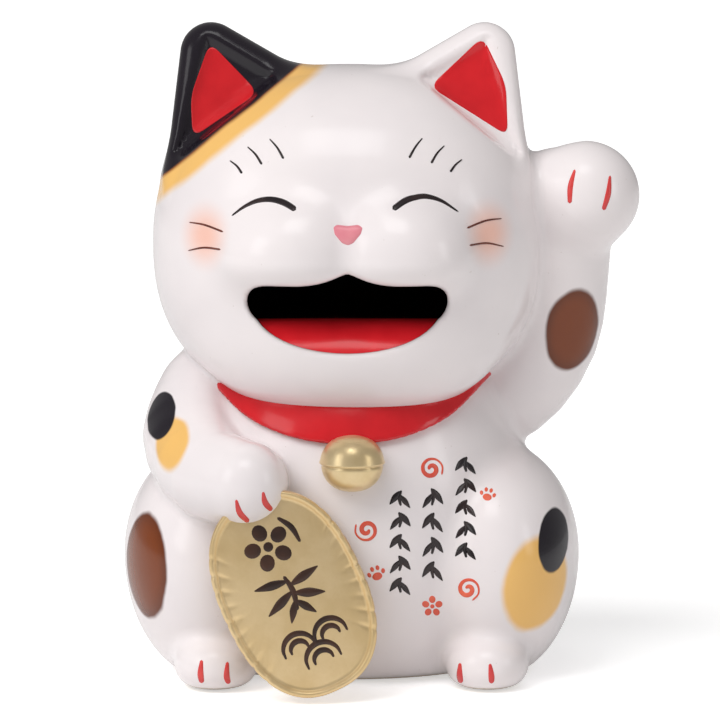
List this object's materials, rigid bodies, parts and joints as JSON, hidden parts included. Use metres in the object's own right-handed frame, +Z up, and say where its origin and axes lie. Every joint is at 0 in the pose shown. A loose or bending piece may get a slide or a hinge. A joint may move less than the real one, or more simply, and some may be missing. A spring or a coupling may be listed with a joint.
{
  "type": "beckoning cat coin bank",
  "caption": "Hollow glazed ceramic cat that sits upright with one paw raised; coins go in at its laughing mouth and come out at a plugged hole in its base.",
  "frame": {"origin": "centre of the whole figure's footprint box, on the surface it stands on", "axes": "+Z up; the cat faces -Y; +X is the cat's own left, the side of the raised paw"},
  "size_m": [0.1346, 0.123, 0.17],
  "materials": {
    "white_glaze": "high-gloss warm white glaze with hand-painted overglaze marks",
    "black_glaze": "high-gloss purplish black overglaze",
    "red_glaze": "high-gloss red overglaze",
    "gold_lustre": "satin metallic gold lustre over ceramic",
    "bare_clay": "bare fired clay, matt",
    "rubber": "soft matt rubber"
  },
  "bodies": {
    "figure": {"torso_shell": "white_glaze", "head_shell": "white_glaze", "jaw_tray": "red_glaze", "right_ear": "black_glaze", "left_ear": "white_glaze", "raised_arm": "white_glaze", "resting_arm": "white_glaze", "right_haunch": "white_glaze", "left_haunch": "white_glaze", "right_foot": "white_glaze", "left_foot": "white_glaze", "tail": "white_glaze", "collar": "red_glaze", "bell": "gold_lustre", "koban": "gold_lustre", "base_plate": "bare_clay"},
    "stopper": {"stopper": "rubber"}
  },
  "joints": [
    {"name": "stopper_pull", "type": "slide", "parent": "figure", "child": "stopper", "axis": [0, 0, -1], "range_m": [0, 0.03]}
  ]
}
